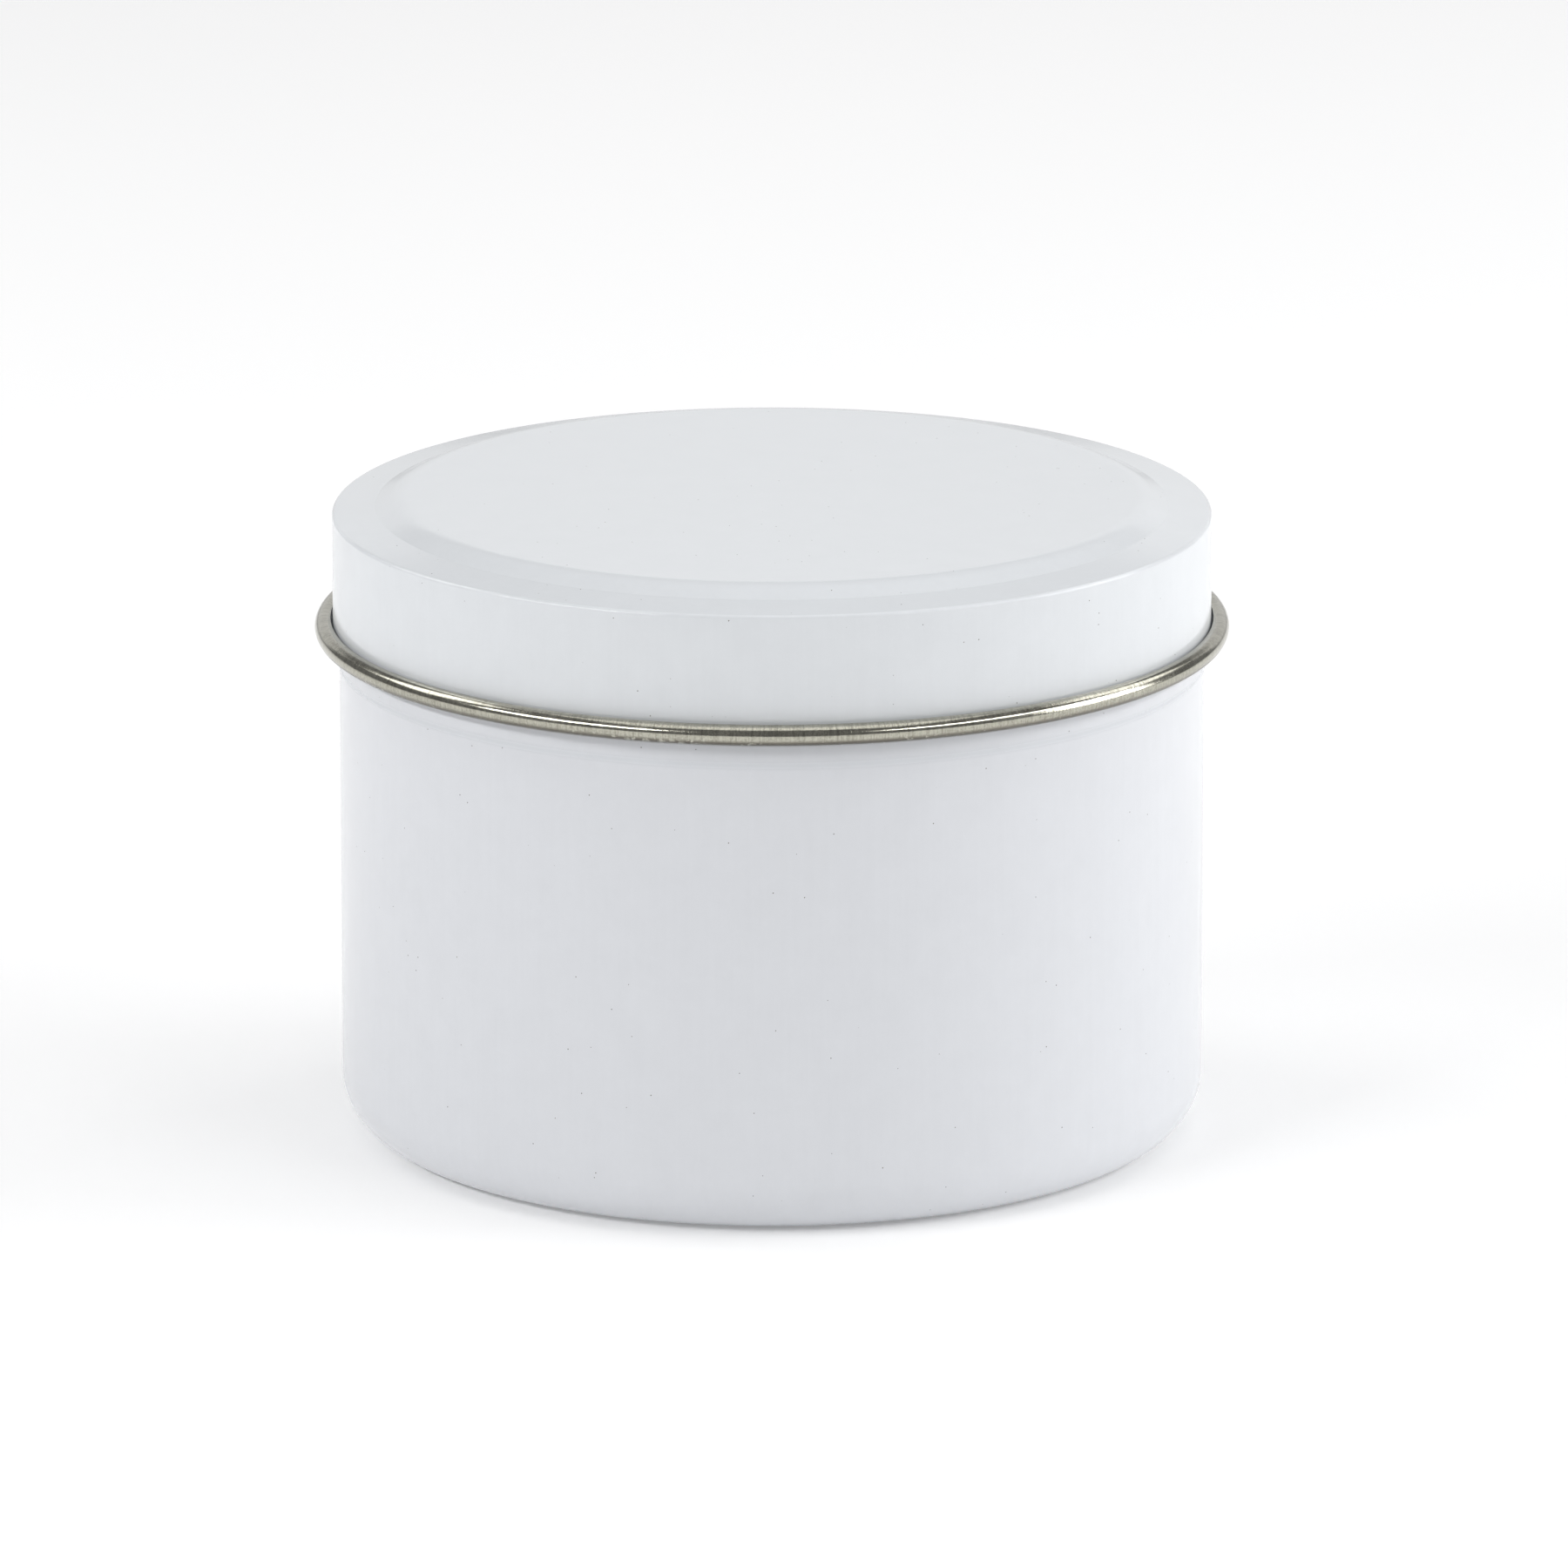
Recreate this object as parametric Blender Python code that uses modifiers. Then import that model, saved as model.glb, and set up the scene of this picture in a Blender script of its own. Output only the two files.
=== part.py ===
"""Candle tin: a seamless drawn tinplate body and its slip-over lid, as an openable part.

Run with: blender --background --python part.py

Both pieces are one sheet of tinplate, drawn to shape: an outline of the sheet's outer face is
turned about the tin's axis (Screw) and given the sheet's thickness inwards (Solidify). The outer
face is lacquered white and the inner face is bare, so the lid's edge, which is rolled outwards,
shows the bare side of the sheet.

World frame: metres, +Z up along the tin's axis, origin at the centre of the base where it stands.
"""

from math import atan2, ceil, copysign, cos, pi, radians, sin, tan

import bpy
from mathutils import Vector

MM = 0.001

# Sheet and turning
SHEET = 0.23 * MM                # thickness of the tinplate
SEGMENTS = 48                    # flat sides round each turned piece
BEND_STEP = radians(18.0)        # the most that one edge of a rounded corner turns
CURL_STEP = radians(30.0)        # the same for the small curled edges
WELD = 0.01 * MM                 # merging distance on the axis

# Body
BODY_RADIUS = 38.5 * MM          # outer face of the wall
BODY_HEIGHT = 55.87 * MM         # floor to the top of the rim
NECK_RADIUS = 38.66 * MM         # outer face of the slightly wider top, which the lid slides on
NECK_START = 43.05 * MM          # height where the wide top starts to step in
NECK_END = 42.45 * MM            # height where the plain wall begins
NECK_BLEND = 1.2 * MM            # rounding of that step
BASE_CORNER = 5.2 * MM           # radius between wall and base
FOOT_INNER = 31.4 * MM           # inner edge of the flat ring that the tin stands on
BASE_PANEL_RADIUS = 30.2 * MM    # edge of the raised middle of the base
BASE_PANEL_LIFT = 0.8 * MM       # height of that middle above the floor
BASE_BLEND = 0.6 * MM            # rounding of the step between them
RIM_CURL = 0.8 * MM              # outer radius of the rim, which is curled inwards
RIM_TURN = radians(300.0)        # how far round the rim's curl goes

# Lid, with heights counted from the underside of its rolled edge
LID_RADIUS = 39.05 * MM          # outer face of the skirt
LID_HEIGHT = 12.745 * MM         # rolled edge to the top of the middle panel
LID_INSIDE = 11.235 * MM         # rolled edge to the underside of the top, over the body's rim
PANEL_BEND_RADIUS = 33.09 * MM   # where the flat panel and its bevel would meet
PANEL_BLEND = 4.18 * MM          # rounding between them
BEVEL_FOOT_RADIUS = 35.2 * MM    # foot of the bevel
BEVEL_ANGLE = radians(24.0)      # fall of the bevel below the level
BEVEL_BLEND = 0.5 * MM           # rounding at its foot
LEDGE_ANGLE = radians(7.35)      # fall of the ledge round the panel
LID_CORNER = 0.35 * MM           # radius between ledge and skirt
ROLL = 0.915 * MM                # outer radius of the rolled edge
ROLL_TURN = radians(300.0)       # how far round the roll goes

# Assembly
SEAT_GAP = 0.3 * MM              # left between the body's rim and the lid


def clear_scene():
    """Remove every object that the file opens with."""
    for item in list(bpy.data.objects):
        bpy.data.objects.remove(item, do_unlink=True)


def arc(centre, radius, start, sweep, step):
    """Points along an arc in the turning plane, from angle start through sweep."""
    count = max(2, ceil(round(abs(sweep) / step, 6)))
    angles = [start + sweep * index / count for index in range(count + 1)]
    return [centre + radius * Vector((cos(angle), sin(angle))) for angle in angles]


def round_corner(before, corner, after, radius):
    """The arc that replaces the corner between two straight stretches."""
    inward = (corner - before).normalized()
    onward = (after - corner).normalized()
    turn = -inward.angle_signed(onward)   # anticlockwise is positive
    reach = radius * tan(abs(turn) / 2.0)
    to_centre = Vector((-inward.y, inward.x)) * copysign(1.0, turn)
    centre = corner - inward * reach + to_centre * radius
    start = atan2(-to_centre.y, -to_centre.x)
    return arc(centre, radius, start, turn, BEND_STEP)


def rounded_outline(corners):
    """An outline through corners of (radius, height, rounding), with its first and last kept."""
    places = [Vector((across, height)) for across, height, _ in corners]
    outline = [places[0]]
    for index in range(1, len(corners) - 1):
        rounding = corners[index][2]
        outline += round_corner(places[index - 1], places[index], places[index + 1], rounding)
    return outline + [places[-1]]


def body_outline():
    """Outer face of the body: inside the rim's curl, over it, down the wall, in along the base."""
    rim_centre = Vector((NECK_RADIUS - RIM_CURL, BODY_HEIGHT - RIM_CURL))
    curl = arc(rim_centre, RIM_CURL, RIM_TURN, -RIM_TURN, CURL_STEP)
    wall_and_base = rounded_outline([
        (NECK_RADIUS, rim_centre.y, 0.0),
        (NECK_RADIUS, NECK_START, NECK_BLEND),
        (BODY_RADIUS, NECK_END, NECK_BLEND),
        (BODY_RADIUS, 0.0, BASE_CORNER),
        (FOOT_INNER, 0.0, BASE_BLEND),
        (BASE_PANEL_RADIUS, BASE_PANEL_LIFT, BASE_BLEND),
        (0.0, BASE_PANEL_LIFT, 0.0),
    ])
    return curl + wall_and_base[1:]


def lid_outline():
    """Outer face of the lid: out across the top, down the skirt, round inside the rolled edge."""
    bevel_foot = LID_HEIGHT - tan(BEVEL_ANGLE) * (BEVEL_FOOT_RADIUS - PANEL_BEND_RADIUS)
    ledge_edge = bevel_foot - tan(LEDGE_ANGLE) * (LID_RADIUS - BEVEL_FOOT_RADIUS)
    top_and_skirt = rounded_outline([
        (0.0, LID_HEIGHT, 0.0),
        (PANEL_BEND_RADIUS, LID_HEIGHT, PANEL_BLEND),
        (BEVEL_FOOT_RADIUS, bevel_foot, BEVEL_BLEND),
        (LID_RADIUS, ledge_edge, LID_CORNER),
        (LID_RADIUS, ROLL, 0.0),
    ])
    # the sheet's outer face is the inner side of the roll
    face = ROLL - SHEET
    roll = arc(Vector((LID_RADIUS + face, ROLL)), face, pi, ROLL_TURN, CURL_STEP)
    return top_and_skirt[:-1] + roll


def principled(name, colour, metallic, roughness):
    """A plain Principled material in linear colour."""
    material = bpy.data.materials.new(name)
    material.use_nodes = True
    shader = material.node_tree.nodes["Principled BSDF"]
    shader.inputs["Base Color"].default_value = (*colour, 1.0)
    shader.inputs["Metallic"].default_value = metallic
    shader.inputs["Roughness"].default_value = roughness
    return material


def white_lacquer(name):
    """Satin white stoving lacquer on the outer face of one piece."""
    return principled(name, (0.72, 0.74, 0.76), 0.0, 0.38)


def bare_tinplate(name):
    """Bright bare tinplate on the inner face of one piece."""
    return principled(name, (0.44, 0.43, 0.37), 1.0, 0.28)


def turned_sheet(name, outline, home):
    """An object of one drawn sheet: the outline turned about Z and thickened inwards."""
    mesh = bpy.data.meshes.new(name)
    points = [(point.x, 0.0, point.y) for point in outline]
    mesh.from_pydata(points, [(index, index + 1) for index in range(len(points) - 1)], [])
    piece = bpy.data.objects.new(name, mesh)
    home.objects.link(piece)

    turning = piece.modifiers.new("turning", "SCREW")
    turning.axis = "Z"
    turning.angle = 2.0 * pi
    turning.steps = SEGMENTS
    turning.render_steps = SEGMENTS
    turning.use_merge_vertices = True
    turning.merge_threshold = WELD
    turning.use_smooth_shade = True

    sheet = piece.modifiers.new("sheet", "SOLIDIFY")
    sheet.thickness = SHEET
    sheet.offset = -1.0
    sheet.use_even_offset = True
    sheet.material_offset = 1
    sheet.material_offset_rim = 1

    mesh.materials.append(white_lacquer(f"{name}_lacquer"))
    mesh.materials.append(bare_tinplate(f"{name}_tinplate"))
    return piece


def build_candle_tin():
    """Make the tin's two pieces, with the lid seated on the body."""
    home = bpy.data.collections.new("candle_tin")
    bpy.context.scene.collection.children.link(home)
    frame = bpy.data.objects.new("candle_tin_frame", None)
    home.objects.link(frame)

    body = turned_sheet("tin_body", body_outline(), home)
    body.parent = frame

    lid = turned_sheet("lid", lid_outline(), home)
    lid.parent = frame
    lid.location.z = BODY_HEIGHT + SEAT_GAP - LID_INSIDE


clear_scene()
build_candle_tin()
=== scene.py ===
"""Candle tin: the finished look of a seamless tinplate body and its slip-over lid.

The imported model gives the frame. Each of its two pressings is made again here as the real one is:
a sheet of bare tinplate, and the film of white lacquer that its outer face was coated with.
Each is an outline of straight runs and bends, turned about the tin's axis.
"""

import logging
from dataclasses import dataclass, field
from enum import Enum
from math import copysign, cos, hypot, pi, radians, sin, tan
from typing import Any, Mapping, Sequence

import bmesh
import bpy
from mathutils import Euler, Matrix, Vector

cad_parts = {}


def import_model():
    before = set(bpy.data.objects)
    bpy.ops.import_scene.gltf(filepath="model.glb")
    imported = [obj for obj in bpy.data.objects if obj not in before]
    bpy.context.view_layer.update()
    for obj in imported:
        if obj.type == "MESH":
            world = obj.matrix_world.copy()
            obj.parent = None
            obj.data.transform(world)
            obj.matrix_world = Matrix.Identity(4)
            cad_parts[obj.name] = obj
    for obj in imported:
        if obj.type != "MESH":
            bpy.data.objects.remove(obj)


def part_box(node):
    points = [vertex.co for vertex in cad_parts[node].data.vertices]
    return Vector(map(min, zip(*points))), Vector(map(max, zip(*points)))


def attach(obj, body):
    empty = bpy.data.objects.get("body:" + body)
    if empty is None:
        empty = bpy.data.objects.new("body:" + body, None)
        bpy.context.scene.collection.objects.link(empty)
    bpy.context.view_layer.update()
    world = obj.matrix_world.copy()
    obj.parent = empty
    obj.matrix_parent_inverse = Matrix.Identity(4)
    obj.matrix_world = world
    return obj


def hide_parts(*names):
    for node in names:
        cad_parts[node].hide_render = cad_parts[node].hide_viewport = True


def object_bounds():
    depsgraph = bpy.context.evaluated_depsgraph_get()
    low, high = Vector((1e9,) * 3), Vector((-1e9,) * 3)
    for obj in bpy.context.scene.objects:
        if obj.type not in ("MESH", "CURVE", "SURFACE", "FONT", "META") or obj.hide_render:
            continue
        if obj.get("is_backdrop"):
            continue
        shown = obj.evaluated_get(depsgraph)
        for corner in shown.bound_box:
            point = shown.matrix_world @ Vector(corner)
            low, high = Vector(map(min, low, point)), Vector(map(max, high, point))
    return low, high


MM = 0.001
WELD = 0.001 * MM               # doubles closer than this are merged
SIDES = 256                     # flat sides round each turned piece
BEND_STEP = radians(4.0)        # the most that one edge of a wide bend turns
CURL_STEP = radians(9.0)        # the same for tight bends
TIGHT = 1.0 * MM                # bends of a smaller radius than this count as tight
SHARP = radians(40.0)           # edges that turn more than this are drawn sharp
NOISE_LOW = 0.3                 # nearly all of a noise lies between these
NOISE_HIGH = 0.7

LOG = logging.getLogger("candle_tin")


class Part(Enum):
    """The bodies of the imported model, which are also its nodes."""

    BODY = "tin_body"
    LID = "lid"


class Slot(Enum):
    """The record's material slots."""

    LACQUER = "white_lacquer"
    TINPLATE = "tinplate"


# ---------------------------------------------------------------- materials


def linear(hex_colour: str) -> tuple[float, float, float, float]:
    """Turn an sRGB hex colour into the linear colour that a shader takes.

    Args:
        hex_colour: Six hex digits, with or without a leading hash.

    Returns:
        Linear red, green, blue and an alpha of 1.
    """
    digits = hex_colour.lstrip("#")
    channels = [int(digits[place:place + 2], 16) / 255.0 for place in (0, 2, 4)]
    curve = [c / 12.92 if c <= 0.04045 else ((c + 0.055) / 1.055) ** 2.4 for c in channels]
    return (curve[0], curve[1], curve[2], 1.0)


def per_metre(size_mm: float) -> float:
    """Give the pattern scale that makes features of a real size.

    Args:
        size_mm: How far across one feature is, in millimetres.

    Returns:
        The scale, in features to the metre.
    """
    return 1.0 / (size_mm * MM)


def add_node(
    tree: bpy.types.NodeTree,
    kind: str,
    inputs: Mapping[str | int, Any] | None = None,
    **settings: Any,
) -> bpy.types.Node:
    """Add a shader node, set it up and link what feeds it.

    Args:
        tree: The node tree to add to.
        kind: The node's type, without its ShaderNode prefix.
        inputs: Socket name or number to a value, or to the output socket to link.
        settings: Properties of the node itself.

    Returns:
        The new node.
    """
    node = tree.nodes.new(f"ShaderNode{kind}")
    for name, value in settings.items():
        setattr(node, name, value)
    for socket, value in (inputs or {}).items():
        if isinstance(value, bpy.types.NodeSocket):
            tree.links.new(value, node.inputs[socket])
        else:
            node.inputs[socket].default_value = value
    return node


@dataclass(frozen=True)
class Finish:
    """What every finish has: a name and a way to become a material."""

    name: str

    def material(self) -> bpy.types.Material:
        """Build the finish's material, unless it is already built.

        Returns:
            The material, which has the finish's name.
        """
        ready = bpy.data.materials.get(self.name)
        if ready is not None:
            return ready
        made = bpy.data.materials.new(self.name)
        made.use_nodes = True
        made.node_tree.nodes.clear()
        shader = self.shade(made.node_tree)
        add_node(made.node_tree, "OutputMaterial", {"Surface": shader.outputs[0]})
        return made

    def shade(self, tree: bpy.types.NodeTree) -> bpy.types.Node:
        """Lay out the nodes.

        Args:
            tree: The material's node tree.

        Returns:
            The last shader.
        """
        raise NotImplementedError


@dataclass(frozen=True)
class WearAndShadeBand:
    """A band of a finish: real wear in some places, painted shade in others.

    Its scratches come in patches. Both are noise, and a place is scratched where their mix is
    above a level, which the cover brings down.
    """

    low: float                   # where the band starts and ends up the tin, in millimetres
    high: float
    fade: float                  # how far its edges take to fade, in millimetres
    upright: float               # how long its scratches are up the tin, against their width
    scratch_mm: float
    cover: float                 # share of the band that is scratched
    colour: str                  # what the scratches leave
    patch_size: float = 30.0     # how far across a patch is, against a scratch
    patch_share: float = 0.35    # the patches' part of the mix
    bare_level: float = 0.68     # level of the mix that starts a scratch when the cover is 0
    cover_level: float = 0.3     # how far a full cover brings that level down
    edge_level: float = 0.03     # how far to either side of it a scratch's edge fades


def wear_and_shade_mask(tree: bpy.types.NodeTree, place: bpy.types.NodeSocket,
             wear_and_shade: WearAndShadeBand) -> bpy.types.NodeSocket:
    """Lay out the nodes that tell how far a finish is worn or darkened by painted shade.

    Args:
        tree: The tree to add to.
        place: Object coordinates.
        wear_and_shade: The band and its scratches.

    Returns:
        A socket that is 0 where the finish is whole and 1 where it is scratched.
    """
    height = add_node(tree, "SeparateXYZ", {0: place}).outputs["Z"]
    fade = wear_and_shade.fade * MM
    rise = add_node(tree, "MapRange", {
        "Value": height, "From Min": wear_and_shade.low * MM - fade, "From Max": wear_and_shade.low * MM + fade})
    fall = add_node(tree, "MapRange", {
        "Value": height, "From Min": wear_and_shade.high * MM + fade, "From Max": wear_and_shade.high * MM - fade})
    band = add_node(tree, "Math", {0: rise.outputs[0], 1: fall.outputs[0]}, operation="MULTIPLY")
    long = add_node(tree, "VectorMath", {
        0: place, 1: (1.0, 1.0, 1.0 / wear_and_shade.upright)}, operation="MULTIPLY")
    marks = add_node(tree, "TexNoise", {
        "Vector": long.outputs[0], "Scale": per_metre(wear_and_shade.scratch_mm), "Detail": 2.0,
        "Roughness": 0.5})
    patches = add_node(tree, "TexNoise", {
        "Vector": place, "Scale": per_metre(wear_and_shade.scratch_mm * wear_and_shade.patch_size), "Detail": 2.0})
    both = add_node(tree, "Mix", {
        0: wear_and_shade.patch_share, 2: marks.outputs[0], 3: patches.outputs[0]}, data_type="FLOAT")
    level = wear_and_shade.bare_level - wear_and_shade.cover_level * wear_and_shade.cover
    scratched = add_node(tree, "MapRange", {
        "Value": both.outputs[0], "From Min": level - wear_and_shade.edge_level,
        "From Max": level + wear_and_shade.edge_level})
    return add_node(tree, "Math", {
        0: band.outputs[0], 1: scratched.outputs[0]}, operation="MULTIPLY").outputs[0]


@dataclass(frozen=True)
class StovedLacquer(Finish):
    """Satin white stoving lacquer, rolled on the sheet before it was drawn.

    It gives an almost even cool white, with a thin highlight along each tight corner. Drawing the
    cup stretched it, which left faint upright streaks on the walls, and the coating line left
    pinpoint specks of dust.
    """

    name: str = "satin_white_stoving_lacquer"
    colour: str = "#DBDEE1"
    stretched_colour: str = "#D8DBDE"
    speck_colour: str = "#4E4A44"
    roughness: float = 0.16
    roughness_drift: float = 0.04
    rub_roughness: float = 0.25  # what a rub adds
    streak_mm: float = 0.6
    streak_squash: float = 0.04  # a streak's width against its length up the tin
    mottle_mm: float = 3.2
    mottle_share: float = 0.7    # the mottle's part of the tone, against the streaks'
    tone_low: float = 0.34       # levels of that mix that give the two colours
    tone_high: float = 0.66
    peel_mm: float = 0.35
    streak_relief: float = 0.2   # the streaks' part of the relief, against the orange peel's
    relief_mm: float = 0.0012
    relief_strength: float = 0.35
    speck_cell_mm: float = 1.6   # each cell has one speck
    speck_mm: float = 0.065
    speck_core: float = 0.6      # share of a speck's radius before its edge fades
    wear_and_shade_bands: tuple[WearAndShadeBand, ...] = ()

    def shade(self, tree: bpy.types.NodeTree) -> bpy.types.Node:
        """Lay out the nodes.

        Args:
            tree: The material's node tree.

        Returns:
            The Principled node.
        """
        place = add_node(tree, "TexCoord").outputs["Object"]
        upright = add_node(tree, "VectorMath", {
            0: place, 1: (1.0, 1.0, self.streak_squash)}, operation="MULTIPLY")
        streaks = add_node(tree, "TexNoise", {
            "Vector": upright.outputs[0], "Scale": per_metre(self.streak_mm), "Detail": 3.0,
            "Roughness": 0.6})
        mottle = add_node(tree, "TexNoise", {
            "Vector": place, "Scale": per_metre(self.mottle_mm), "Detail": 5.0, "Roughness": 0.7})
        both = add_node(tree, "Mix", {
            0: self.mottle_share, 2: streaks.outputs[0], 3: mottle.outputs[0]},
            data_type="FLOAT")
        tone = add_node(tree, "MapRange", {
            "Value": both.outputs[0], "From Min": self.tone_low, "From Max": self.tone_high})
        coat = add_node(tree, "Mix", {
            0: tone.outputs[0], 6: linear(self.stretched_colour), 7: linear(self.colour)},
            data_type="RGBA")

        cells = add_node(tree, "TexVoronoi", {
            "Vector": place, "Scale": per_metre(self.speck_cell_mm), "Randomness": 1.0})
        speck_edge = self.speck_mm / self.speck_cell_mm
        speck = add_node(tree, "MapRange", {
            "Value": cells.outputs["Distance"], "From Min": speck_edge * self.speck_core,
            "From Max": speck_edge, "To Min": 1.0, "To Max": 0.0})
        colour = add_node(tree, "Mix", {
            0: speck.outputs[0], 6: coat.outputs[2], 7: linear(self.speck_colour)},
            data_type="RGBA").outputs[2]
        gloss = add_node(tree, "MapRange", {
            "Value": both.outputs[0], "From Min": NOISE_LOW, "From Max": NOISE_HIGH,
            "To Min": self.roughness + self.roughness_drift,
            "To Max": self.roughness - self.roughness_drift}).outputs[0]
        # bands of wear and bands of painted shade are mixed into the colour here
        for wear_and_shade in self.wear_and_shade_bands:
            worn_and_shaded = wear_and_shade_mask(tree, place, wear_and_shade)
            colour = add_node(tree, "Mix", {
                0: worn_and_shaded, 6: colour, 7: linear(wear_and_shade.colour)}, data_type="RGBA").outputs[2]
            gloss = add_node(tree, "Mix", {
                0: worn_and_shaded, 2: gloss, 3: self.roughness + self.rub_roughness},
                data_type="FLOAT").outputs[0]

        peel = add_node(tree, "TexNoise", {
            "Vector": place, "Scale": per_metre(self.peel_mm), "Detail": 3.0})
        relief = add_node(tree, "Mix", {
            0: self.streak_relief, 2: peel.outputs[0], 3: streaks.outputs[0]},
            data_type="FLOAT")
        bump = add_node(tree, "Bump", {
            "Height": relief.outputs[0], "Strength": self.relief_strength,
            "Distance": self.relief_mm * MM})
        return add_node(tree, "BsdfPrincipled", {
            "Base Color": colour, "Roughness": gloss, "Normal": bump.outputs[0]})


@dataclass(frozen=True)
class BareTinplate(Finish):
    """Bright tinplate as it comes off the mill, drawn and rolled.

    It gives a warm silver that mirrors the room softly. The draw left fine scratches that run down
    the walls and straight across the rolled edge, and the grain is fine enough to break a highlight
    into dots. The scratches are noise taken on a circle, so that they keep their width all round,
    with a little drift so that they don't run dead straight.
    """

    name: str = "bright_bare_tinplate"
    colour: str = "#C6C5BF"
    dull_colour: str = "#A5A49D"
    roughness: float = 0.15
    gloss_gain: float = 0.04     # how far the haze lowers and raises the roughness
    haze_gain: float = 0.06
    rub_roughness: float = 0.15  # what a rub adds
    scratch_mm: float = 0.16
    circle_mm: float = 39.0
    drift: float = 0.06
    haze_mm: float = 1.8
    grain_mm: float = 0.19
    grain_share: float = 0.5     # the grain's part of the marks, against the scratches'
    tone_low: float = 0.38       # levels of the marks that give the two colours
    tone_high: float = 0.56
    relief_mm: float = 0.016
    relief_strength: float = 0.7
    wear_and_shade_bands: tuple[WearAndShadeBand, ...] = ()

    def shade(self, tree: bpy.types.NodeTree) -> bpy.types.Node:
        """Lay out the nodes.

        Args:
            tree: The material's node tree.

        Returns:
            The Principled node.
        """
        place = add_node(tree, "TexCoord").outputs["Object"]
        level = add_node(tree, "VectorMath", {0: place, 1: (1.0, 1.0, 0.0)}, operation="MULTIPLY")
        spoke = add_node(tree, "VectorMath", {0: level.outputs[0]}, operation="NORMALIZE")
        around = add_node(tree, "VectorMath", {
            0: spoke.outputs[0], "Scale": self.circle_mm * MM}, operation="SCALE")
        drift = add_node(tree, "VectorMath", {
            0: place, 1: (self.drift,) * 3}, operation="MULTIPLY")
        drawn = add_node(tree, "VectorMath", {
            0: around.outputs[0], 1: drift.outputs[0]}, operation="ADD")
        scratches = add_node(tree, "TexNoise", {
            "Vector": drawn.outputs[0], "Scale": per_metre(self.scratch_mm), "Detail": 3.0,
            "Roughness": 0.65})
        haze = add_node(tree, "TexNoise", {
            "Vector": place, "Scale": per_metre(self.haze_mm), "Detail": 4.0, "Roughness": 0.6})
        grain = add_node(tree, "TexNoise", {
            "Vector": place, "Scale": per_metre(self.grain_mm), "Detail": 3.0, "Roughness": 0.7})
        marks = add_node(tree, "Mix", {
            0: self.grain_share, 2: scratches.outputs[0], 3: grain.outputs[0]},
            data_type="FLOAT")
        tone = add_node(tree, "MapRange", {
            "Value": marks.outputs[0], "From Min": self.tone_low, "From Max": self.tone_high})
        metal = add_node(tree, "Mix", {
            0: tone.outputs[0], 6: linear(self.dull_colour), 7: linear(self.colour)},
            data_type="RGBA").outputs[2]
        gloss = add_node(tree, "MapRange", {
            "Value": haze.outputs[0], "From Min": NOISE_LOW, "From Max": NOISE_HIGH,
            "To Min": self.roughness - self.gloss_gain,
            "To Max": self.roughness + self.haze_gain}).outputs[0]
        # bands of wear and bands of painted shade are mixed into the colour here
        for wear_and_shade in self.wear_and_shade_bands:
            worn_and_shaded = wear_and_shade_mask(tree, place, wear_and_shade)
            metal = add_node(tree, "Mix", {
                0: worn_and_shaded, 6: metal, 7: linear(wear_and_shade.colour)}, data_type="RGBA").outputs[2]
            gloss = add_node(tree, "Mix", {
                0: worn_and_shaded, 2: gloss, 3: self.roughness + self.rub_roughness},
                data_type="FLOAT").outputs[0]
        bump = add_node(tree, "Bump", {
            "Height": marks.outputs[0], "Strength": self.relief_strength,
            "Distance": self.relief_mm * MM})
        return add_node(tree, "BsdfPrincipled", {
            "Base Color": metal, "Metallic": 1.0, "Roughness": gloss, "Normal": bump.outputs[0]})


@dataclass(frozen=True)
class StudioPaper(Finish):
    """Matt white background paper, lit until it is nearly blank.

    It gives a floor with no edge or texture, where only the tin's soft shadow shows.
    """

    name: str = "matt_white_background_paper"
    colour: str = "#F0F0F0"
    roughness: float = 0.9
    specular: float = 0.1
    glow: float = 0.15

    def shade(self, tree: bpy.types.NodeTree) -> bpy.types.Node:
        """Lay out the nodes.

        Args:
            tree: The material's node tree.

        Returns:
            The Principled node.
        """
        return add_node(tree, "BsdfPrincipled", {
            "Base Color": linear(self.colour), "Roughness": self.roughness,
            "Specular IOR Level": self.specular, "Emission Color": linear("#FFFFFF"),
            "Emission Strength": self.glow})


# ---------------------------------------------------------------- outlines


@dataclass(frozen=True)
class Run:
    """A straight stretch of a sheet's outer face."""

    length: float


@dataclass(frozen=True)
class Bend:
    """A bend of a sheet's outer face: its radius, and its turn, anticlockwise positive."""

    radius: float
    turn: float


@dataclass(frozen=True)
class Corner:
    """A place where two straight stretches would meet, and the rounding put there."""

    across: float
    height: float
    rounding: float = 0.0

    @property
    def place(self) -> Vector:
        """Give the corner as a point of the turning plane.

        Returns:
            Its distance from the tin's axis and its height.
        """
        return Vector((self.across, self.height))


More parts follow.
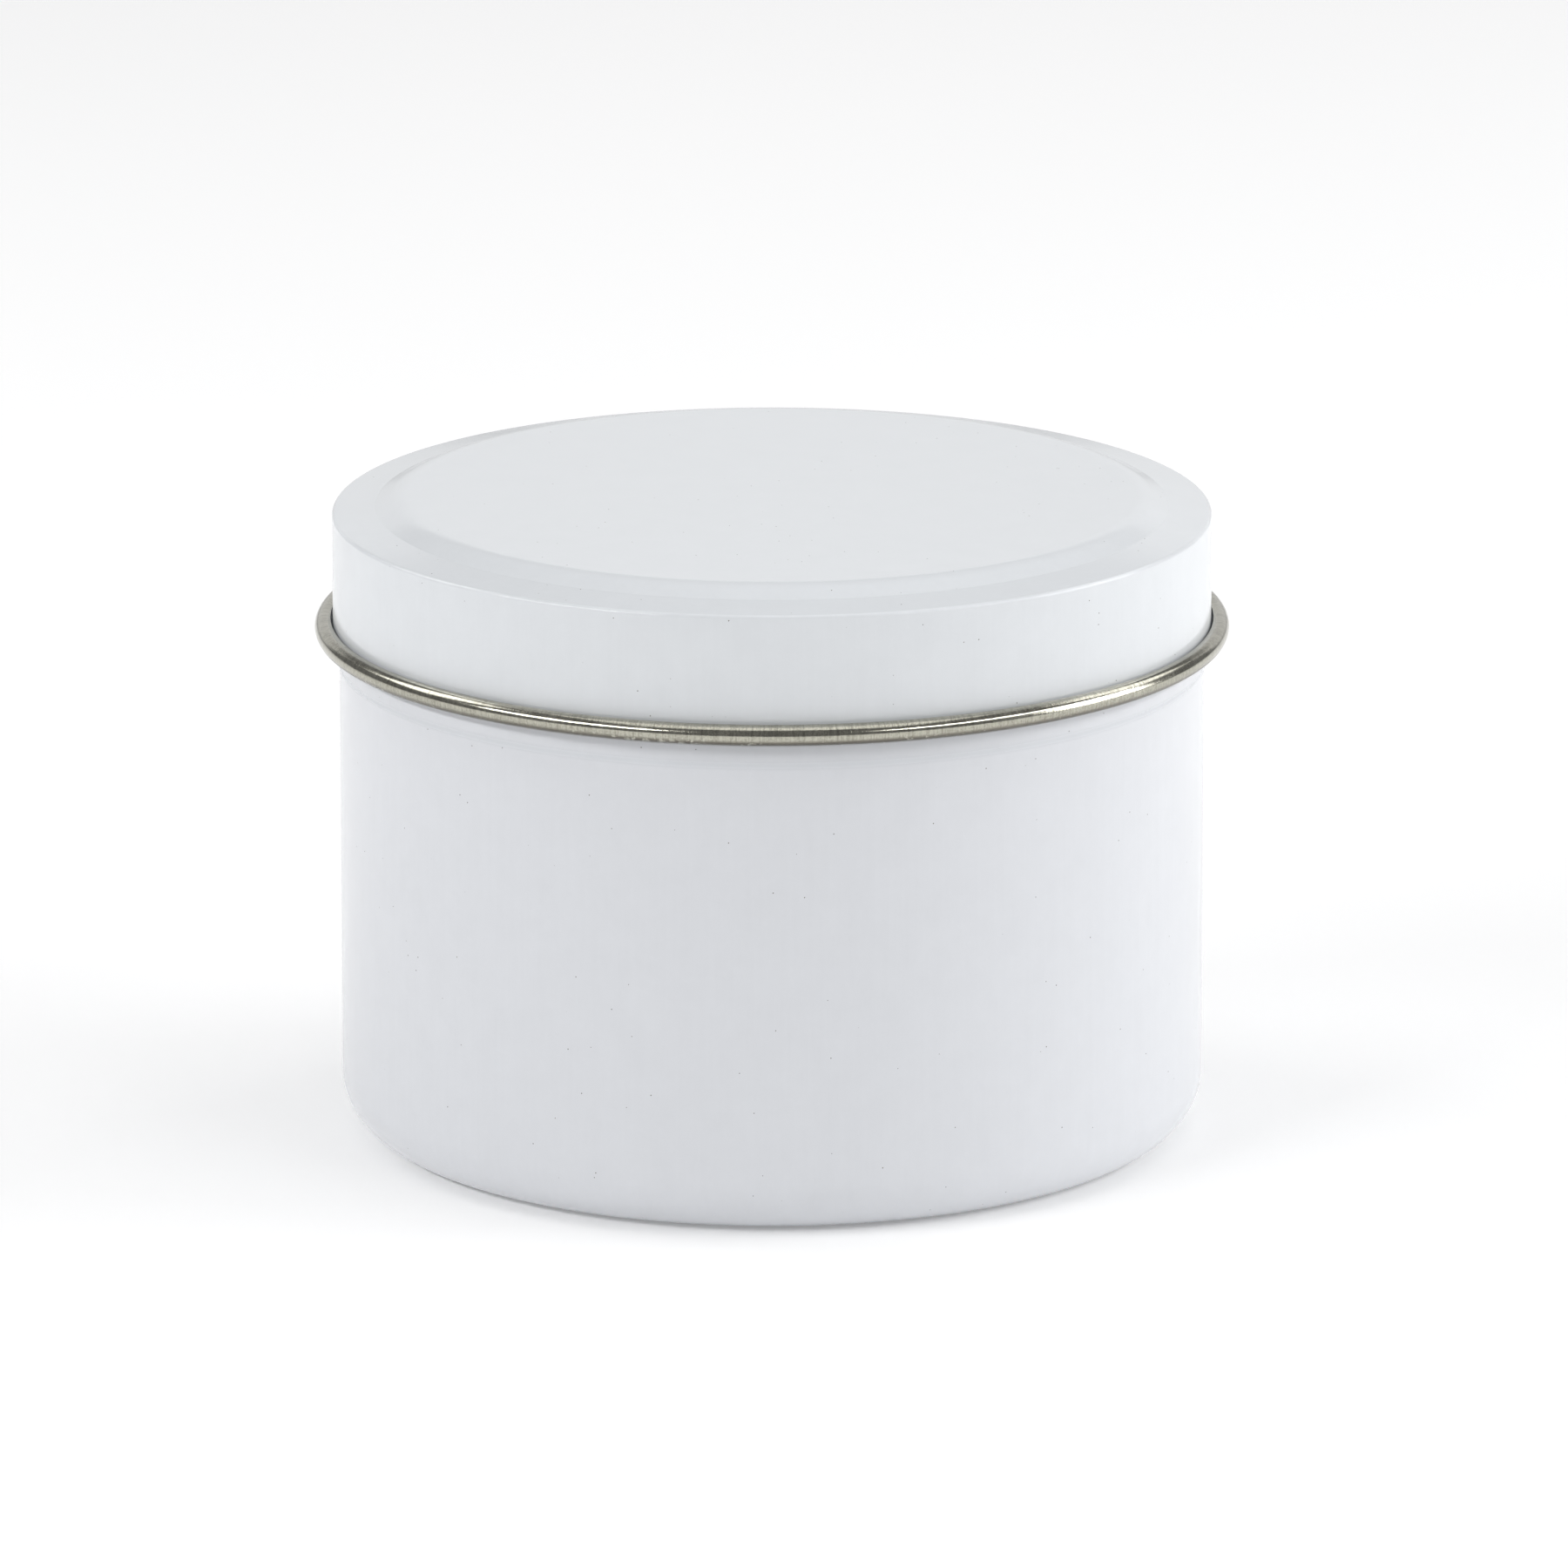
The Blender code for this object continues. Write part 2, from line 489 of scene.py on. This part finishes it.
@dataclass
class SheetPath:
    """The section of a pressed sheet, followed along its outer face in the turning plane.

    The outer face lies on the left of the way it is followed, so a line at some depth in the sheet
    has the same runs and the same turns, and only its bends have other radii.
    """

    start: Vector
    heading: float               # the first move's direction, anticlockwise from outwards
    moves: list[Run | Bend] = field(default_factory=list)

    @classmethod
    def through(cls, corners: Sequence[Corner]) -> "SheetPath":
        """Follow straight stretches between corners, rounding each corner on the way.

        Args:
            corners: The corners in order, the first and last being the ends.

        Returns:
            The path.
        """
        places = [corner.place for corner in corners]
        ways = [after - before for before, after in zip(places, places[1:])]
        turns = [-one.angle_signed(other) for one, other in zip(ways, ways[1:])]
        cuts = [corner.rounding * tan(abs(turn) / 2.0)
                for corner, turn in zip(corners[1:-1], turns)]
        moves: list[Run | Bend] = []
        for index, way in enumerate(ways):
            before = cuts[index - 1] if index else 0.0
            after = cuts[index] if index < len(cuts) else 0.0
            moves.append(Run(way.length - before - after))
            if index < len(cuts):
                moves.append(Bend(corners[index + 1].rounding, turns[index]))
        return cls(places[0], -Vector((1.0, 0.0)).angle_signed(ways[0]), moves)

    def draw(self, mesh: bmesh.types.BMesh, depth: float) -> tuple[Any, Any]:
        """Draw the line that lies at a depth in the sheet.

        Args:
            mesh: The mesh that the line is drawn in.
            depth: Distance from the outer face, into the sheet.

        Returns:
            The line's first and last vertex.
        """
        heading = self.heading
        outward = Vector((-sin(heading), cos(heading)))
        place = self.start - outward * depth
        first = tip = bmesh.ops.create_vert(mesh, co=(place.x, 0.0, place.y))["vert"][0]
        for move in self.moves:
            onward = Vector((cos(heading), sin(heading)))
            if isinstance(move, Run):
                tip = bmesh.ops.extrude_vert_indiv(mesh, verts=[tip])["verts"][0]
                tip.co += Vector((onward.x, 0.0, onward.y)) * move.length
                continue
            side = copysign(1.0, move.turn)
            radius = move.radius + side * depth
            middle = tip.co + Vector((-onward.y, 0.0, onward.x)) * radius * side
            step = CURL_STEP if move.radius < TIGHT else BEND_STEP
            swept = bmesh.ops.spin(
                mesh, geom=[tip], cent=middle, axis=(0.0, 1.0, 0.0), dvec=(0.0, 0.0, 0.0),
                angle=-move.turn, steps=max(2, round(abs(move.turn) / step)), use_merge=False,
                use_normal_flip=False, use_duplicate=False)
            tip = swept["geom_last"][0]
            heading += move.turn
        return first, tip


# ---------------------------------------------------------------- pressings


@dataclass(frozen=True)
class Gauge:
    """Thicknesses of the coated sheet."""

    sheet: float = 0.23 * MM     # the whole of it, metal and film
    film: float = 0.035 * MM
    key: float = 0.012 * MM      # how far the film bites into the metal

    @property
    def metal_face(self) -> float:
        """Give the place of the metal's outer face.

        Returns:
            Its depth under the lacquer's outer face.
        """
        return self.film - self.key


@dataclass
class Pressing:
    """One drawn sheet: the metal, and the lacquer on its outer face."""

    part: Part
    gauge: Gauge = field(default_factory=Gauge)
    lacquer: Finish = field(default_factory=StovedLacquer)
    tinplate: Finish = field(default_factory=BareTinplate)

    def path(self) -> SheetPath:
        """Follow the sheet's outer face.

        Returns:
            Its path from end to end, with the outer face on the left.
        """
        raise NotImplementedError

    def turned(self, name: str, near: float, far: float, finish: Finish) -> bpy.types.Object:
        """Turn the layer of the sheet between two depths about the tin's axis.

        Args:
            name: The new object's name.
            near: Depth of the layer's outer face.
            far: Depth of its inner face.
            finish: What it is made of.

        Returns:
            The new object, one closed layer with the axis as its pole.
        """
        path = self.path()
        mesh = bmesh.new()
        ends = [path.draw(mesh, depth) for depth in (near, far)]
        for one, other in zip(*ends):
            if hypot(one.co.x, one.co.y) > WELD:
                mesh.edges.new((one, other))
        bmesh.ops.spin(
            mesh, geom=mesh.verts[:] + mesh.edges[:], cent=(0.0, 0.0, 0.0), axis=(0.0, 0.0, 1.0),
            dvec=(0.0, 0.0, 0.0), angle=2.0 * pi, steps=SIDES, use_merge=True,
            use_normal_flip=False, use_duplicate=False)
        bmesh.ops.remove_doubles(mesh, verts=mesh.verts[:], dist=WELD)
        bmesh.ops.recalc_face_normals(mesh, faces=mesh.faces[:])
        data = bpy.data.meshes.new(name)
        mesh.to_mesh(data)
        mesh.free()
        data.shade_smooth()
        data.set_sharp_from_angle(angle=SHARP)
        data.materials.append(finish.material())
        piece = bpy.data.objects.new(name, data)
        bpy.context.scene.collection.objects.link(piece)
        return piece

    def build(self) -> list[bpy.types.Object]:
        """Make both layers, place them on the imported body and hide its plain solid.

        Returns:
            The metal and the lacquer.
        """
        metal = self.turned(f"{self.part.value}_tinplate", self.gauge.metal_face,
                            self.gauge.sheet, self.tinplate)
        film = self.turned(f"{self.part.value}_lacquer", 0.0, self.gauge.film, self.lacquer)
        for piece, slot in ((metal, Slot.TINPLATE), (film, Slot.LACQUER)):
            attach(piece, self.part.value)
            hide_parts(self.part.value)
        return [metal, film]


@dataclass
class DrawnBody(Pressing):
    """The tin's body: a drawn cup with a wider neck, a rim curled inwards and a recessed base."""

    part: Part = Part.BODY
    lacquer: Finish = field(default_factory=lambda: StovedLacquer(
        # a little greyer than the lid's lacquer
        name="rubbed_white_lacquer_with_painted_shade", colour="#D8DADE", stretched_colour="#D5D7DB",
        wear_and_shade_bands=(
            # the lid's skirt slides on the neck
            WearAndShadeBand(low=45.5, high=54.9, fade=0.8, upright=40.0, scratch_mm=0.10, cover=0.28,
                colour="#C2C0BB"),
            # painted shadow: a full grey band on the neck just under the lid's rolled edge, where
            # that edge shades the wall
            WearAndShadeBand(low=44.62, high=45.3, fade=0.14, upright=1.0, scratch_mm=0.30, cover=1.0,
                colour="#7E7D7B"),
            # painted shade: a slightly darker band over the step below the neck, where the step
            # faces down
            WearAndShadeBand(low=42.55, high=43.05, fade=0.3, upright=1.0, scratch_mm=0.30, cover=1.0,
                colour="#CDD0D4"),
            # shelves scuff the foot
            WearAndShadeBand(low=-0.5, high=0.02, fade=0.05, upright=1.0, scratch_mm=0.16, cover=0.75,
                colour="#A9A69E"),
        )))
    wall: float = 38.5 * MM          # radius of the plain wall
    neck: float = 38.66 * MM         # radius of the wider top
    neck_start: float = 43.05 * MM   # heights between which it steps in
    neck_end: float = 42.45 * MM
    neck_blend: float = 1.2 * MM     # rounding of that step
    base_corner: float = 5.2 * MM
    foot: float = 31.4 * MM          # inner edge of the ring that the tin stands on
    panel: float = 30.2 * MM         # edge of the raised middle of the base
    panel_lift: float = 0.8 * MM
    panel_blend: float = 0.6 * MM
    rim: float = 0.8 * MM            # outer radius of the rim's curl
    rim_turn: float = radians(300.0)

    def path(self) -> SheetPath:
        """Follow the outer face from inside the rim's curl, down the wall, to the base's middle.

        Returns:
            The path.
        """
        low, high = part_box(self.part.value)
        floor, top = low.z, high.z
        middle = Vector((self.neck - self.rim, top - self.rim))
        spoke = Vector((cos(self.rim_turn), sin(self.rim_turn)))
        wall = SheetPath.through([
            Corner(self.neck, middle.y),
            Corner(self.neck, self.neck_start, self.neck_blend),
            Corner(self.wall, self.neck_end, self.neck_blend),
            Corner(self.wall, floor, self.base_corner),
            Corner(self.foot, floor, self.panel_blend),
            Corner(self.panel, floor + self.panel_lift, self.panel_blend),
            Corner(0.0, floor + self.panel_lift),
        ])
        curl = Bend(self.rim, -self.rim_turn)
        return SheetPath(middle + spoke * self.rim, self.rim_turn - pi / 2.0, [curl, *wall.moves])


@dataclass
class SlipLid(Pressing):
    """The slip-over lid: raised panel, bevel, ledge, skirt and an edge rolled outwards."""

    part: Part = Part.LID
    tinplate: Finish = field(default_factory=lambda: BareTinplate(
        name="rolled_bare_tinplate", colour="#B8B6A9", dull_colour="#959387",
        # painted reflection: the roll's underside is darkened where it mirrors the shaded floor
        # next to the base
        wear_and_shade_bands=(WearAndShadeBand(low=44.0, high=45.45, fade=0.15, upright=1.0, scratch_mm=0.5, cover=1.0,
                  colour="#6F6B62"),)))
    skirt: float = 39.05 * MM        # radius of the skirt
    height: float = 12.745 * MM      # underside of the roll to the top of the panel
    panel_bend: float = 33.09 * MM   # where the flat panel and its bevel would meet
    panel_blend: float = 4.18 * MM   # rounding between them
    bevel_foot: float = 35.2 * MM
    bevel_fall: float = radians(24.0)
    bevel_blend: float = 0.35 * MM   # rounding at the bevel's foot
    ledge_fall: float = radians(7.35)
    corner: float = 0.35 * MM        # rounding between ledge and skirt
    roll: float = 0.915 * MM         # outer radius of the rolled edge
    roll_turn: float = radians(302.0)

    def path(self) -> SheetPath:
        """Follow the outer face from the panel's middle, down the skirt, round inside the roll.

        Returns:
            The path.
        """
        _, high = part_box(self.part.value)
        top = high.z
        foot = top - tan(self.bevel_fall) * (self.bevel_foot - self.panel_bend)
        edge = foot - tan(self.ledge_fall) * (self.skirt - self.bevel_foot)
        path = SheetPath.through([
            Corner(0.0, top),
            Corner(self.panel_bend, top, self.panel_blend),
            Corner(self.bevel_foot, foot, self.bevel_blend),
            Corner(self.skirt, edge, self.corner),
            Corner(self.skirt, top - self.height + self.roll),
        ])
        # the sheet's outer face is the inner side of the roll
        path.moves.append(Bend(self.roll - self.gauge.sheet, self.roll_turn))
        return path


# ---------------------------------------------------------------- studio


@dataclass
class SoftLight:
    """A soft box, aimed at the tin."""

    name: str
    azimuth: float               # from the camera's side towards +X, in degrees
    elevation: float             # above the floor, in degrees
    distance: float
    size: tuple[float, float]    # width and height
    power: float

    def build(self, target: Vector) -> None:
        """Hang the light.

        Args:
            target: The point that it faces.
        """
        data = bpy.data.lights.new(self.name, "AREA")
        data.shape = "RECTANGLE"
        data.size, data.size_y = self.size
        data.energy = self.power
        around, up = radians(self.azimuth), radians(self.elevation)
        away = Vector((sin(around) * cos(up), -cos(around) * cos(up), sin(up)))
        light = bpy.data.objects.new(self.name, data)
        light.matrix_world = (Matrix.Translation(target + away * self.distance)
                              @ away.to_track_quat("Z", "Y").to_matrix().to_4x4())
        bpy.context.scene.collection.objects.link(light)


@dataclass
class Studio:
    """A pale floor, a plain grey surround and soft boxes.

    The side strips put the thin lines on the lid's corner and the rolled edge, and the low strip
    behind the tin lights the flat panel more than the ledge and the bevel round it.
    """

    floor_side: float = 8.0
    surround: str = "#7C7C7D"
    surround_strength: float = 1.0
    # name, azimuth, elevation, distance, width and height, watts
    lights: Sequence[SoftLight] = (
        SoftLight("left_soft_box", -55.0, 32.0, 1.0, (0.75, 0.07), 4.30),
        SoftLight("right_soft_box", 69.0, 34.0, 1.0, (1.3, 0.07), 3.70),
        SoftLight("low_right_soft_box", 90.0, 15.0, 1.0, (0.6, 0.4), 3.36),
        SoftLight("overhead_soft_box", 0.0, 89.9, 1.0, (0.9, 0.9), 2.86),
        SoftLight("backdrop_strip", 180.0, 13.0, 1.1, (1.6, 0.45), 1.30),
        SoftLight("left_back_soft_box", -115.0, 40.0, 1.0, (0.42, 0.42), 1.66),
        SoftLight("right_back_soft_box", 125.0, 40.0, 1.0, (0.42, 0.42), 1.19),
    )

    def build(self, target: Vector) -> None:
        """Set the studio up round the tin.

        Args:
            target: The point that the lights face.
        """
        mesh = bmesh.new()
        bmesh.ops.create_grid(mesh, x_segments=1, y_segments=1, size=self.floor_side / 2.0)
        data = bpy.data.meshes.new("studio_floor")
        mesh.to_mesh(data)
        mesh.free()
        data.materials.append(StudioPaper().material())
        floor = bpy.data.objects.new("studio_floor", data)
        bpy.context.scene.collection.objects.link(floor)
        floor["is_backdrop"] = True
        for light in self.lights:
            light.build(target)
        world = bpy.data.worlds.new("studio_surround")
        world.use_nodes = True
        world.node_tree.nodes.clear()
        glow = add_node(world.node_tree, "Background", {
            "Color": linear(self.surround), "Strength": self.surround_strength})
        add_node(world.node_tree, "OutputWorld", {"Surface": glow.outputs[0]})
        bpy.context.scene.world = world
        bpy.context.scene.view_settings.view_transform = "Standard"


@dataclass
class ProductCamera:
    """A long lens, looking a little down on the tin."""

    lens: float = 319.5          # in millimetres, as the sensor's width is
    sensor: float = 36.0
    near_clip: float = 0.05
    place: tuple[float, float, float] = (1.07 * MM, -1.2, 349.8 * MM)
    pitch: float = radians(14.88)

    def build(self) -> None:
        """Make the camera and look through it."""
        data = bpy.data.cameras.new("product_camera")
        data.lens = self.lens
        data.sensor_width = self.sensor
        data.clip_start = self.near_clip
        camera = bpy.data.objects.new("product_camera", data)
        camera.location = self.place
        camera.rotation_euler = Euler((pi / 2.0 - self.pitch, 0.0, 0.0))
        bpy.context.scene.collection.objects.link(camera)
        bpy.context.scene.camera = camera


# ---------------------------------------------------------------- assembly


def main() -> None:
    """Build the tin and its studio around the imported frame."""
    logging.basicConfig(level=logging.INFO, format="%(name)s: %(message)s")
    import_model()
    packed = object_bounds()
    ProductCamera().build()
    for pressing in (DrawnBody(), SlipLid()):
        for piece in pressing.build():
            LOG.info("%s: %d faces", piece.name, len(piece.data.polygons))
    middle = (Vector(packed[0]) + Vector(packed[1])) / 2.0
    Studio().build(middle)


if __name__ == "__main__":
    main()
